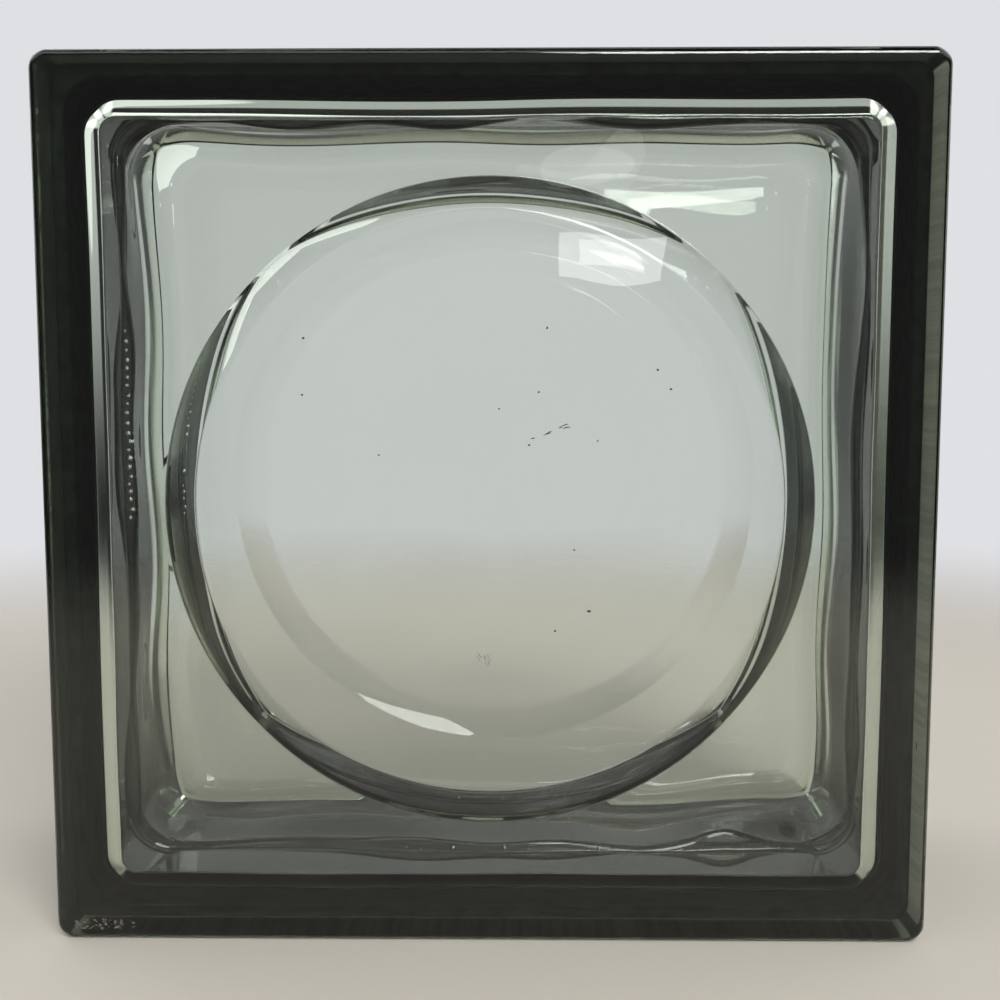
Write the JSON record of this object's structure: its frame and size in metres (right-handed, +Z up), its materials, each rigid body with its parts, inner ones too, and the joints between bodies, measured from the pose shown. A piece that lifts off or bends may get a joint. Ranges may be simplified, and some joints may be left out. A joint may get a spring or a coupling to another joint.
{
  "type": "glass block",
  "caption": "Square hollow glass building block with a round recess pressed inside its faces and a mortar channel round its edge, for translucent walls.",
  "frame": {"origin": "middle of the underside, on the floor the block stands on", "axes": "+Z up, +X to the right as seen from the front, +Y through the block from front to back"},
  "size_m": [0.19, 0.08, 0.19],
  "materials": {
    "glass": "gloss"
  },
  "bodies": {
    "root": {"glass_block": "glass"}
  },
  "joints": []
}
